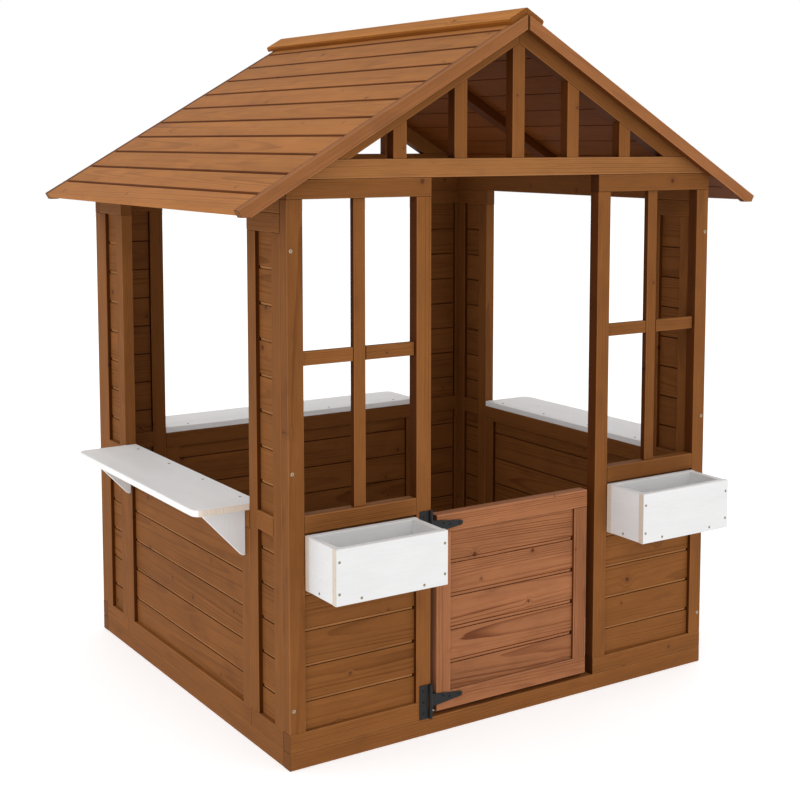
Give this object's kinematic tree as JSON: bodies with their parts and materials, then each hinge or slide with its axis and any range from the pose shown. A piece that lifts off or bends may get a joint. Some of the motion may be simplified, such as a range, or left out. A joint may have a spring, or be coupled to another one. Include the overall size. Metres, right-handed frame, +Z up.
{
  "type": "wooden playhouse",
  "caption": "Child's timber playhouse with a gabled plank roof, open gables, a hinged half door, window bars, outside counter shelves and planter boxes.",
  "frame": {"origin": "on the ground, under the middle of the house", "axes": "+Z up, front with the door faces -Y, +X to the right seen from the front"},
  "size_m": [1.388, 1.272, 1.5562],
  "materials": {
    "stained_wood": "satin brown stain over visible softwood grain",
    "roof_wood": "satin lighter brown stain over visible softwood grain",
    "ridge_wood": "satin orange-brown stain over visible softwood grain",
    "door_wood": "satin reddish-brown stain over visible softwood grain",
    "white_paint": "thin white paint over softwood",
    "black_steel": "textured black powder coat"
  },
  "bodies": {
    "house": {"base_front": "stained_wood", "base_back": "stained_wood", "base_left": "stained_wood", "base_right": "stained_wood", "front_left_frame": "stained_wood", "front_left_boards": "stained_wood", "front_left_window_bars": "stained_wood", "left_planter": "white_paint", "front_right_frame": "stained_wood", "front_right_boards": "stained_wood", "front_right_window_bars": "stained_wood", "right_planter": "white_paint", "left_rear_corner_frame": "stained_wood", "left_rear_corner_boards": "stained_wood", "left_front_corner_frame": "stained_wood", "left_front_corner_boards": "stained_wood", "left_low_frame": "stained_wood", "left_low_boards": "stained_wood", "left_shelf": "white_paint", "left_bracket_a": "white_paint", "left_bracket_b": "white_paint", "left_header": "stained_wood", "right_front_corner_frame": "stained_wood", "right_front_corner_boards": "stained_wood", "right_rear_corner_frame": "stained_wood", "right_rear_corner_boards": "stained_wood", "right_low_frame": "stained_wood", "right_low_boards": "stained_wood", "right_shelf": "white_paint", "right_bracket_a": "white_paint", "right_bracket_b": "white_paint", "right_header": "stained_wood", "back_right_corner_frame": "stained_wood", "back_right_corner_boards": "stained_wood", "back_left_corner_frame": "stained_wood", "back_left_corner_boards": "stained_wood", "back_low_frame": "stained_wood", "back_low_boards": "stained_wood", "back_shelf": "white_paint", "back_bracket_a": "white_paint", "back_bracket_b": "white_paint", "back_header": "stained_wood", "front_gable": "stained_wood", "back_gable": "stained_wood", "roof_left": "roof_wood", "ridge_board_left": "ridge_wood", "barge_front_left": "roof_wood", "barge_back_left": "roof_wood", "roof_right": "roof_wood", "ridge_board_right": "ridge_wood", "barge_front_right": "roof_wood", "barge_back_right": "roof_wood", "lower_hinge_leaf": "black_steel", "lower_hinge_pin": "black_steel", "upper_hinge_leaf": "black_steel", "upper_hinge_pin": "black_steel"},
    "door": {"door_frame": "door_wood", "door_boards": "door_wood", "lower_hinge_strap": "black_steel", "upper_hinge_strap": "black_steel"}
  },
  "joints": [
    {"name": "door_hinge", "type": "hinge", "parent": "house", "child": "door", "pos_m": [-0.2295, -0.5163, 0.2655], "axis": [0, 0, -1], "range_deg": [0, 105]}
  ]
}
